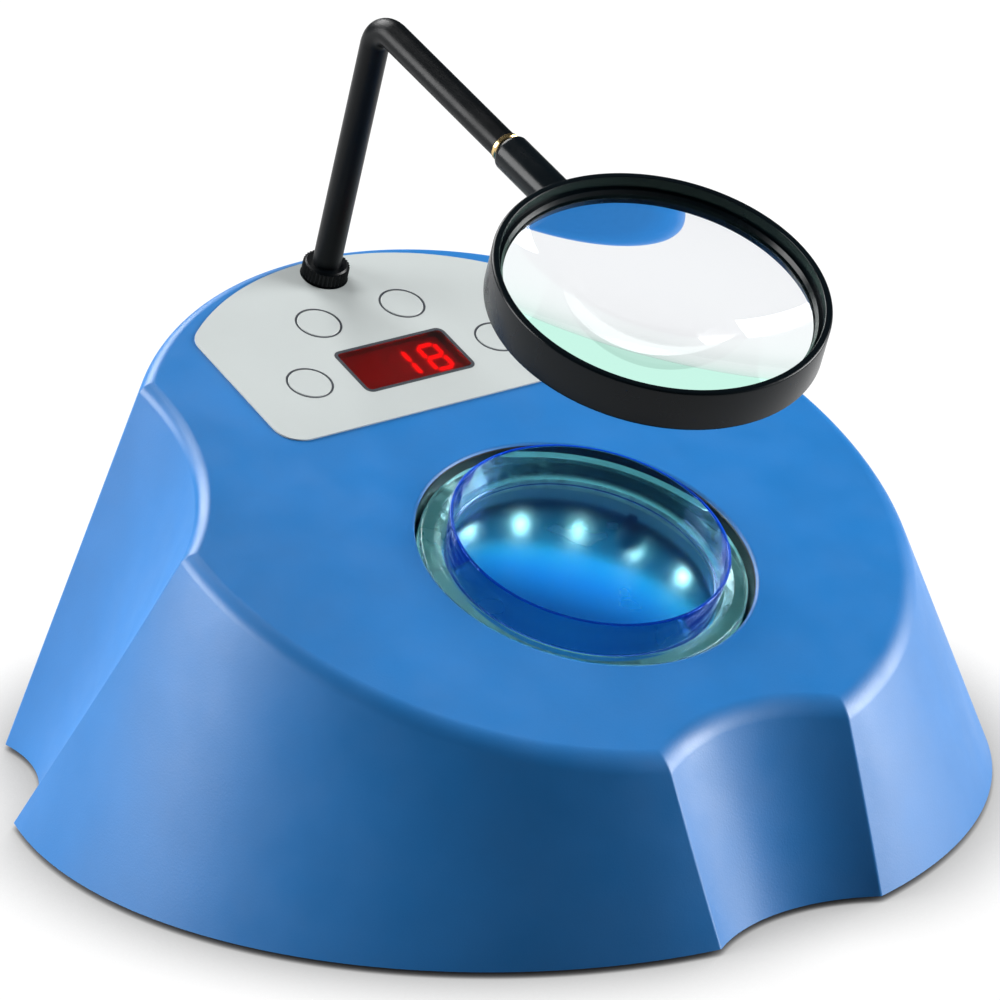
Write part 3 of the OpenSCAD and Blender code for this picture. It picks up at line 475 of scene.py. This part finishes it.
def boolean(target, tool, operation="DIFFERENCE"):
    """Applies an exact boolean of two mesh objects and returns the new mesh."""
    mod = target.modifiers.new("cut", "BOOLEAN")
    mod.operation = operation
    mod.solver = "EXACT"
    mod.object = tool
    bpy.context.view_layer.update()
    graph = bpy.context.evaluated_depsgraph_get()
    mesh = bpy.data.meshes.new_from_object(target.evaluated_get(graph))
    target.modifiers.remove(mod)
    return mesh


def carved(name, mesh, cutters):
    """Mesh with the cutters' meshes taken out of it, one after another."""
    target = scratch(name, mesh)
    for cutter in cutters:
        tool = scratch("tool", cutter)
        target.data = boolean(target, tool)
        bpy.data.objects.remove(tool)
    result = target.data
    bpy.data.objects.remove(target)
    return result


def disc(r, low, high):
    """Profile of a plain cylinder."""
    return [(0, low), (r, low), (r, high), (0, high)]


def arc(cx, cz, r, start, end, steps):
    """Points of an arc in a profile, angles from the outward direction."""
    return [(cx + r * cosd(start + (end - start) * i / steps),
             cz + r * sind(start + (end - start) * i / steps))
            for i in range(steps + 1)]


def rounded(points, radii):
    """Profile through points, with the corner at point i rounded to radii[i]."""
    out = []
    count = len(points)
    for i, (p, r) in enumerate(zip(points, radii)):
        if r <= 0:
            out.append(p)
            continue
        a, b, c = Vector(points[i - 1]), Vector(p), Vector(points[(i + 1) % count])
        u, v = (a - b).normalized(), (c - b).normalized()
        half = u.angle(v) / 2
        cut = r / math.tan(half)
        start, end = b + u * cut, b + v * cut
        centre = b + (u + v).normalized() * (r / math.sin(half))
        s, e = start - centre, end - centre
        sweep = s.angle(e)
        side = 1 if s.x * e.y - s.y * e.x > 0 else -1
        for k in range(ROUND_STEPS + 1):
            t = side * sweep * k / ROUND_STEPS
            out.append((centre.x + s.x * math.cos(t) - s.y * math.sin(t),
                        centre.y + s.x * math.sin(t) + s.y * math.cos(t)))
    return out


def round_rect(w, h, r, cy):
    """Outline of a rectangle with round corners, centred on x = 0."""
    out = []
    for sx, sy, a in ((1, 1, 0), (-1, 1, 90), (-1, -1, 180), (1, -1, 270)):
        for i in range(CORNER_STEPS + 1):
            t = a + 90 * i / CORNER_STEPS
            out.append((sx * (w / 2 - r) + r * cosd(t), cy + sy * (h / 2 - r) + r * sind(t)))
    return out


def circle(r, cx, cy):
    return [(cx + r * math.cos(math.tau * i / CIRCLE_STEPS),
             cy + r * math.sin(math.tau * i / CIRCLE_STEPS)) for i in range(CIRCLE_STEPS)]


# ---- Outline of the cover ----

BASE_R = 160
WALL_SLOPE = 21
WALL_T = 3
TOP_T = 3
RIM_R = 4
RIDGE_R = 1.5
K_WALL = math.tan(math.radians(WALL_SLOPE))
K_TOP = math.tan(math.radians(TOP_TILT))
WALL_IN = WALL_T / cosd(WALL_SLOPE)
# Flutes: azimuth at the lower edge, side, and growth of the radius with height
FLUTES = ((-90, 0, K_WALL), (29, -1, 0.405), (151, 1, 0.405))
FLUTE_DIST = 204
FLUTE_R = 56.4
SIDE_LEAN = 0.40
SIDE_DRAW = 0.07
RIDGE_STEPS, FLUTE_STEPS, LOBE_STEPS = 5, 30, 56
MEET_FROM, MEET_PASSES = 80.0, 9  # start and passes of the search for the rim's height
WALL_STEPS = 8
RIM_STEP_DEG = 10


def polar(r, deg):
    return Vector((r * cosd(deg), r * sind(deg)))


def corner(p, q, o):
    """Angle between the sides p and q of a triangle, opposite to o."""
    return math.degrees(math.acos((p * p + q * q - o * o) / (2 * p * q)))


def flute(g, z, inset):
    """Axis, radius, azimuth and the two half angles of flute g at height z."""
    az, side, flare = FLUTES[g % 3]
    c = polar(FLUTE_DIST, az) + z * (side * SIDE_LEAN * polar(1, az + 90)
                                     - abs(side) * SIDE_DRAW * polar(1, az))
    r = FLUTE_R + z * flare + inset
    lobe = BASE_R - K_WALL * z - inset - RIDGE_R
    d = c.length
    return (c, r, math.degrees(math.atan2(c.y, c.x)), corner(d, lobe, r + RIDGE_R),
            corner(d, r + RIDGE_R, lobe))


def outline_point(g, j, z, inset):
    """Point j of the outline's part that starts at flute g, at height z."""
    c, fr, az, b, f = flute(g, z, inset)
    lobe = BASE_R - K_WALL * z - inset
    ridge = lobe - RIDGE_R
    step = (b + f) / RIDGE_STEPS
    if j <= RIDGE_STEPS:
        return polar(ridge, az - b) + polar(RIDGE_R, az - b + step * j)
    j -= RIDGE_STEPS
    if j < FLUTE_STEPS:
        return c + polar(fr, az + 180 + f - 2 * f * j / FLUTE_STEPS)
    j -= FLUTE_STEPS
    if j <= RIDGE_STEPS:
        return polar(ridge, az + b) + polar(RIDGE_R, az - f + step * j)
    j -= RIDGE_STEPS
    following = flute(g + 1, z, inset)
    end = following[2] - following[3] + (360 if g == 2 else 0)
    start = az + b
    return polar(lobe, start + (end - start) * j / LOBE_STEPS)


OUTLINE = [(g, j) for g in range(3)
           for j in range(2 * RIDGE_STEPS + FLUTE_STEPS + LOBE_STEPS)]


def top_ring(height, inset):
    """Where the wall meets the top plane lowered to that height at the centre."""
    ring = []
    for g, j in OUTLINE:
        z = MEET_FROM
        for _ in range(MEET_PASSES):
            p = outline_point(g, j, z, inset)
            z = height + p.y * K_TOP
        ring.append((p.x, p.y, z))
    return ring


def wall_ring(top, share, inset):
    """Ring of the wall at a share of the height of the ring above it."""
    ring = []
    for (g, j), (_, _, z1) in zip(OUTLINE, top):
        p = outline_point(g, j, share * z1, inset)
        ring.append((p.x, p.y, share * z1))
    return ring


# ---- Cover, with its holes ----

WELL_R = 54
WELL_FILLET = 1.5
WINDOW_V = 51.8
WINDOW_HOLE = (42.6, 21.9, 2.6)  # width, length and corner radius
WINDOW_HOLE_LOW = -8
KEYS = {"key_front_left": (-37, WINDOW_V), "key_front_right": (37, WINDOW_V),
        "key_rear_left": (-16.5, 78.1), "key_rear_right": (16.5, 78.1)}
KEY_R = 7.2
KEY_GAP = 0.7
KEY_FLOOR = -2.2
SOCKET_HOLE_R = 8
SOCKET_HOLE_LOW = -12
RECESS = ((-58, 129, 8), (58, 175, 48))
ABOVE, BELOW = 5, 20  # how far cutters reach past the surface
WELL_CUT_TOP = [(0.24, 0.02), (0.3, 3)]  # outwards from the rounding, and above the face
SHADE_BAND_LOW, SHADE_BAND_HIGH = -3.2, -0.6  # painted shade: the near-black band on the well's wall under its rounded edge, for the shade in the gap
SHADE_BAND_PLAY = 0.4

outer_top = top_ring(TOP_H - RIM_R, 0)
inner_top = top_ring(TOP_H - TOP_T / cosd(TOP_TILT), WALL_IN)
cover_rings = [inner_top] + [wall_ring(inner_top, s, WALL_IN) for s in (0.67, 0.33, 0)]
cover_rings += [wall_ring(outer_top, k / WALL_STEPS, 0) for k in range(WALL_STEPS)]
cover_rings += [top_ring(TOP_H - RIM_R * (1 - sind(q)), RIM_R * (1 - cosd(q)))
                for q in range(0, 91, RIM_STEP_DEG)]

mouth = WELL_R + WELL_FILLET
well_edge = [(mouth - WELL_FILLET * cosd(q), -WELL_FILLET * (1 - sind(q)))
             for q in range(0, 82, 9)]  # ends just short of the flat face
well_cut = [(0, -BELOW), (WELL_R, -BELOW)] + well_edge + [
    (mouth + out, up) for out, up in WELL_CUT_TOP] + [(0, WELL_CUT_TOP[-1][1])]
cover_cutters = [
    lathe_mesh("well", well_cut, WELL, steps=192),
    lathe_mesh("arm_hole", disc(SOCKET_HOLE_R, SOCKET_HOLE_LOW, ABOVE), ARM, steps=64),
    slab_mesh("window_hole", round_rect(*WINDOW_HOLE, WINDOW_V), WINDOW_HOLE_LOW, ABOVE, TOP),
    box_mesh("recess", *RECESS),
]
cover_cutters += [lathe_mesh(key, disc(KEY_R + KEY_GAP, KEY_FLOOR, ABOVE),
                             TOP @ shift(u, v, 0), steps=48) for key, (u, v) in KEYS.items()]
cover_mesh = carved("cover", rings_mesh("cover", cover_rings, FOOT_GAP), cover_cutters)
cover = piece("cover_shell", cover_mesh, "housing", M["body"], ["top_cover"],
              angle=40)
# Painted shade: the well's wall in the band below gets the near-black material, for the shade in
# the gap round the ring
cover_mesh.materials.append(M["well"])
into_well = WELL.inverted()
for face in cover_mesh.polygons:
    at = into_well @ face.center
    in_well = math.hypot(at.x, at.y) < (WELL_R + SHADE_BAND_PLAY) * MM
    if in_well and SHADE_BAND_LOW * MM < at.z < SHADE_BAND_HIGH * MM:
        face.material_index = 1
weighted = cover.modifiers.new("even_normals", "WEIGHTED_NORMAL")
weighted.keep_sharp = True
weighted.weight = 100

# Walls of the connector recess, trimmed to the middle of the cone wall
RECESS_BLOCK = ((-60.5, 126, 5.6), (60.5, 180, 50.5))
RECESS_SPACE = ((-58, 129, 8), (58, 190, 48))
PLATE_OPENING = ((-51.5, 120, 14.5), (51.5, 140, 41.5))
mid_top = top_ring(TOP_H - TOP_T / 2 / cosd(TOP_TILT), WALL_IN / 2)
mid = scratch("mid", rings_mesh("mid", [wall_ring(mid_top, s, WALL_IN / 2) for s in (0, 0.5)]
                                + [mid_top], FOOT_GAP))
block = scratch("block", carved("block", box_mesh("block", *RECESS_BLOCK), [
    box_mesh("tool", *RECESS_SPACE), box_mesh("tool", *PLATE_OPENING)]))
recess_mesh = boolean(block, mid, "INTERSECT")
bpy.data.objects.remove(mid)
bpy.data.objects.remove(block)
piece("recess_walls", recess_mesh, "housing", M["body"])

SKIRT_R = 57
SKIRT_LOW, SKIRT_HIGH = -14, -2.9
skirt_profile = rounded([(WELL_R, SKIRT_LOW), (SKIRT_R, SKIRT_LOW), (SKIRT_R, SKIRT_HIGH),
                         (WELL_R, SKIRT_HIGH)], [0.5, 0.5, 0, 0])
# The skirt is in the near-black of painted shade too
piece("well_skirt", lathe_mesh("well_skirt", skirt_profile, WELL, steps=160), "housing",
      M["well"])


# ---- CAD nodes that stay, with their materials ----

KEPT = {
    "base": ["base_plate"],
    "rubber": ["rubber_feet", "platform_pads"],
    "screw": ["base_screws", "board_screws", "chamber_screws", "connector_screws"],
    "panel": ["control_panel"],
    "key": list(KEYS),
    "window": ["display_window"],
    "display_back": ["display_module"],
    "black": ["key_switches", "buzzer", "press_switch", "power_inlet",
              "rocker_bezel", "power_rocker", "lens_retainer"],
    "board": ["control_board", "power_board"],
    "chamber": ["light_chamber"],
    "ledge": ["led_strip"],
    "lamp": ["leds"],
    "field": ["field_disc"],
    "plate": ["count_plate"],
    "carrier": ["platform_carrier"],
    "arm": ["arm_bar", "knurled_collar", "arm_socket"],
    "steel": ["arm_spigot", "transformer"],
    "brass": ["arm_collet", "ferrule"],
    "contact": ["inlet_pins", "serial_port", "jack_posts"],
    "dark_metal": ["connector_plate"],
    "parts": ["supply_parts"],
    "grey_cable": ["ribbon_cable"],
    "brown_lead": ["mains_leads"],
}
for key, nodes in KEPT.items():
    for node in nodes:
        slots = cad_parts[node].data.materials
        slots.clear()
        slots.append(M[key])


# ---- Display, and lines round keys and window ----

DIGIT_PITCH = 12.6
DIGIT_H = 14.2
DIGIT_W = -3.4  # height of the digits' lower face on the top plane
DIGIT_T = 0.3
BAR_W = 1.5
BAR_GAP = 0.4
BAR_SHIFT = 0.2
SEGMENTS = {"1": "bc", "8": "abcdefg"}
SHOWN = " 18"


def bar(cx, cy, length, upright):
    """Outline of one bar of a digit, pointed at both ends."""
    tip, neck, side = length / 2, length / 2 - BAR_W / 2, BAR_W / 2
    pts = [(-tip, 0), (-neck, side), (neck, side), (tip, 0), (neck, -side), (-neck, -side)]
    return [(cx - y, cy + x) if upright else (cx + x, cy + y) for x, y in pts]


def digit_bars(cx, cy):
    """Outlines of the seven bars of a digit, under their usual letters."""
    seg = DIGIT_H / 2 - 1
    side, half = seg / 2 + BAR_SHIFT, (seg + BAR_SHIFT) / 2
    bars = {"a": (0, seg + BAR_SHIFT, False), "g": (0, 0, False),
            "d": (0, -seg - BAR_SHIFT, False),
            "b": (side, half, True), "c": (side, -half, True),
            "e": (-side, -half, True), "f": (-side, half, True)}
    return {k: bar(cx + x, cy + y, seg - BAR_GAP, up) for k, (x, y, up) in bars.items()}


lit, unlit = [], []
for i, sign in zip((-1, 0, 1), SHOWN):
    for key, shape in digit_bars(i * DIGIT_PITCH, WINDOW_V).items():
        target = lit if key in SEGMENTS.get(sign, "") else unlit
        target.append(slab_mesh("bar", shape, DIGIT_W, DIGIT_W + DIGIT_T, TOP))
piece("digits_lit", joined("digits_lit", lit), "housing", M["digit_lit"],
      ["display_digits"])
piece("digits_off", joined("digits_off", unlit), "housing", M["digit_off"])

PANEL_T = 0.5
KEY_LINE = (0.62, 0.02)  # outer and inner edge of the line, from the key's rim
LINE_LOW, LINE_HIGH = PANEL_T - 0.02, PANEL_T + 0.03
EDGE_OUTER, EDGE_INNER = (43.0, 22.3, 2.8), (40.6, 19.9, 1.6)  # as WINDOW_HOLE
EDGE_HIGH = PANEL_T + 0.06
for node, (u, v) in KEYS.items():
    line = node + "_line"
    outer, inner = (circle(KEY_R + gap, u, v) for gap in KEY_LINE)
    piece(line, line_mesh(line, outer, inner, LINE_LOW, LINE_HIGH, TOP),
          "housing", M["ink"])
edge_mesh = line_mesh("window_edge", round_rect(*EDGE_OUTER, WINDOW_V),
                      round_rect(*EDGE_INNER, WINDOW_V), PANEL_T, EDGE_HIGH, TOP)
piece("window_edge", edge_mesh, "housing", M["ink"])


# ---- Dish and its ring ----

DISH_R = 44.7
DISH_H = 15
DISH_T = 1.1
DISH_TAPER = 0.8
DISH_UNDER, DISH_FLOOR = 0.5, 1.7  # the two faces of its floor
PLATE_W = -7.6
PLATE_R = 52.5
RING_PLAY = 0.5
RING_H = 5.2
RING_LEAD_W, RING_LEAD_H = 2.6, 3.2  # slope that leads the dish in: its width and lower end

foot = DISH_R - DISH_TAPER
dish_profile = rounded(
    [(0, DISH_UNDER), (foot - 1.6, DISH_UNDER), (foot - 1.4, 0), (foot, 0),
     (DISH_R, DISH_H), (DISH_R - DISH_T, DISH_H), (foot - DISH_T, DISH_FLOOR),
     (0, DISH_FLOOR)],
    [0, 0.1, 0.1, 0.4, 0.35, 0.35, 1.0, 0])
dish_mesh = lathe_mesh("dish_clear", dish_profile, WELL @ shift(0, 0, PLATE_W), steps=192)
piece("dish_clear", dish_mesh, "dish", M["dish"], ["petri_dish"], angle=50)
ring_in = DISH_R + RING_PLAY
ring_profile = rounded(
    [(ring_in, PLATE_W), (PLATE_R, PLATE_W), (PLATE_R, PLATE_W + RING_H),
     (ring_in + RING_LEAD_W, PLATE_W + RING_H), (ring_in, PLATE_W + RING_LEAD_H)],
    [0.1, 0.1, 1.2, 0.8, 0.6])
piece("ring_clear", lathe_mesh("ring_clear", ring_profile, WELL, steps=192), "platform",
      M["ring"], ["dish_ring"], angle=50)


# ---- Magnifier ----

FRAME_R = 52.6
FRAME_H = 14.2
FRAME_T = 2.4
FRAME_LIP, FRAME_SEAT = 4.6, 5  # width of the frame's lower lip, at the bottom and the top
LENS_R = 49.9
LENS_W = -1.6
LENS_EDGE = 3
LENS_CURVE = 250
LENS_STEPS = 40
EDGE_GAP, EDGE_OUT = 0.05, 0.22  # the ground edge lies this far outside the glass
EDGE_IN = 0.1  # and ends this far from its faces
BORE_R = 3.05
BORE_FROM, BORE_TO = 60, 88.3  # along the leg, as SOCKET_FROM and SOCKET_END
SOCKET_R = 6.2
SOCKET_FROM = 70.1
SOCKET_END = LENS_REACH - FRAME_R + 3
RING_SPACE = FRAME_R - 0.3  # radius of the space that the frame fills
SOCKET_ROUND = 2.2


def sag(r):
    return math.sqrt(LENS_CURVE ** 2 - r * r) - math.sqrt(LENS_CURVE ** 2 - LENS_R ** 2)


half = FRAME_H / 2
frame_profile = rounded(
    [(FRAME_R - FRAME_T, half), (FRAME_R, half), (FRAME_R, -half),
     (FRAME_R - FRAME_LIP, -half), (FRAME_R - FRAME_SEAT, LENS_W),
     (FRAME_R - FRAME_T, LENS_W)], [0.3, 0.8, 0.8, 0.4, 0.2, 0])
piece("magnifier_frame", lathe_mesh("magnifier_frame", frame_profile, LENS, steps=192),
      "magnifier", M["black"], ["lens_frame"], angle=50)

radii = [LENS_R * i / LENS_STEPS for i in range(LENS_STEPS + 1)]
lens_profile = [(r, LENS_W - sag(r)) for r in radii] + [
    (r, LENS_W + LENS_EDGE + sag(r)) for r in reversed(radii)]
piece("lens_clear", lathe_mesh("lens_clear", lens_profile, LENS, steps=192), "magnifier",
      M["lens"], ["lens"], angle=40)
# Ground edge of the glass, which the lens shows along its near side; its pale green glow is
# painted, for the light that the glass carries
edge_profile = [
    (LENS_R + EDGE_GAP, LENS_W + EDGE_IN), (LENS_R + EDGE_OUT, LENS_W + EDGE_IN),
    (LENS_R + EDGE_OUT, LENS_W + LENS_EDGE - EDGE_IN),
    (LENS_R + EDGE_GAP, LENS_W + LENS_EDGE - EDGE_IN)]
piece("lens_edge", lathe_mesh("lens_edge", edge_profile, LENS, steps=160), "magnifier",
      M["painted_edge_glow"])

socket_in = SOCKET_R - SOCKET_ROUND
socket_profile = [(0, SOCKET_FROM), (socket_in, SOCKET_FROM)] + arc(
    socket_in, SOCKET_FROM + SOCKET_ROUND, SOCKET_ROUND, -90, 0, 8) + [
    (SOCKET_R, SOCKET_END), (0, SOCKET_END)]
socket_mesh = carved("socket", lathe_mesh("socket", socket_profile, ALONG_LEG, steps=96), [
    lathe_mesh("bore", disc(BORE_R, BORE_FROM, BORE_TO), ALONG_LEG, steps=48),
    lathe_mesh("ring_space", disc(RING_SPACE, -BELOW, BELOW), LENS, steps=192)])
piece("socket_black", socket_mesh, "magnifier", M["black"], ["lens_socket"],
      angle=40)


# ---- Studio, in metres and watts ----

FLOOR_HALF = 6
FLOOR_GREY = 0.42
FLOOR_SEEN = 0.85  # share of plain white in the floor that a camera or a gloss sees
# Reach of the floor's painted contact shadow
CONTACT_SHADOW_REACH = 0.035
AIM = (0, 0, 0.07)
# Place, width and height, and power of each lamp
LAMPS = {"right": ((1.45, -0.676, 0.58), (0.9, 0.9), 46),
         "left_rear": ((-1.296, 0.81, 0.745), (0.9, 0.9), 33),
         "rear": ((0.042, 1.2, 1.2), (1.0, 0.9), 31)}


def floor_material():
    """Pale floor that keeps the shadow, and is near white to the camera, in gloss and
    through glass; near the object its glow is darkened into a painted contact shadow."""
    n = new_material("floor_pale")
    diffuse = n.add("ShaderNodeBsdfDiffuse", {"Color": (FLOOR_GREY,) * 3 + (1,)})
    glow = n.add("ShaderNodeEmission", {"Color": WHITE})
    # Painted contact shadow: occlusion darkens the floor's glow where it meets the object
    occlusion = n.add("ShaderNodeAmbientOcclusion", {"Distance": CONTACT_SHADOW_REACH}, samples=16)
    contact = n.math("POWER", occlusion.outputs["AO"], 1.6)
    n.link(n.math("MULTIPLY", contact, 1.12), glow.inputs["Strength"])
    path = n.add("ShaderNodeLightPath").outputs
    seen = n.math("MAXIMUM", path["Is Camera Ray"], path["Is Glossy Ray"])
    seen = n.math("MAXIMUM", seen, path["Is Transmission Ray"])
    n.surface(n.mix(n.math("MULTIPLY", seen, FLOOR_SEEN), diffuse.outputs["BSDF"],
                    glow.outputs["Emission"]))
    return n.owner


def studio_world():
    """Dim light from all round, white to the camera. Rays through clear parts see that
    white too, unless a gloss has turned them first."""
    n = Nodes(bpy.data.worlds.new("studio"), "ShaderNodeOutputWorld")
    ambient = n.add("ShaderNodeBackground", {"Color": (0.9, 0.95, 1, 1), "Strength": 0.05})
    white = n.add("ShaderNodeBackground", {"Color": WHITE})
    path = n.add("ShaderNodeLightPath").outputs
    direct = n.math("LESS_THAN", path["Glossy Depth"], 0.5)
    through = n.math("MULTIPLY", path["Is Transmission Ray"], direct)
    seen = n.math("MAXIMUM", path["Is Camera Ray"], through)
    n.surface(n.mix(seen, ambient.outputs[0], white.outputs[0]))
    return n.owner


def lamp(name, place, size, power):
    data = bpy.data.lights.new(name, "AREA")
    data.shape = "RECTANGLE"
    data.size, data.size_y = size
    data.energy = power
    obj = bpy.data.objects.new(name, data)
    obj.location = place
    obj.rotation_euler = (Vector(AIM) - Vector(place)).to_track_quat("-Z", "Y").to_euler()
    bpy.context.collection.objects.link(obj)


floor_mesh = bpy.data.meshes.new("floor")
floor_mesh.from_pydata([(x * FLOOR_HALF, y * FLOOR_HALF, 0) for x, y in
                        ((-1, -1), (1, -1), (1, 1), (-1, 1))], [], [(0, 1, 2, 3)])
floor_mesh.materials.append(floor_material())
floor = scratch("floor", floor_mesh)
bpy.context.scene.world = studio_world()
for name, values in LAMPS.items():
    lamp(name, *values)


# ---- Camera, at the photograph's place ----

YAW, PITCH, ROLL = 36.04, 20.98, -0.351
CAMERA_AT = (-0.96428, -1.32843, 0.72006)  # metres
SENSOR = 36
FOCAL = 5.533996 * SENSOR

ahead = Vector((sind(YAW) * cosd(PITCH), cosd(YAW) * cosd(PITCH), -sind(PITCH)))
right = Vector((cosd(YAW), -sind(YAW), 0))
up = right.cross(ahead)
cam_x = right * cosd(ROLL) + up * sind(ROLL)
cam_y = up * cosd(ROLL) - right * sind(ROLL)
camera_data = bpy.data.cameras.new("camera")
camera_data.sensor_width = SENSOR
camera_data.lens = FOCAL
camera_data.clip_start = 0.05
camera_data.clip_end = 50
camera = bpy.data.objects.new("camera", camera_data)
bpy.context.collection.objects.link(camera)
camera.matrix_world = Matrix([*zip(cam_x, cam_y, -ahead, CAMERA_AT), (0, 0, 0, 1)])
bpy.context.scene.camera = camera
bpy.context.scene.view_settings.view_transform = "Standard"
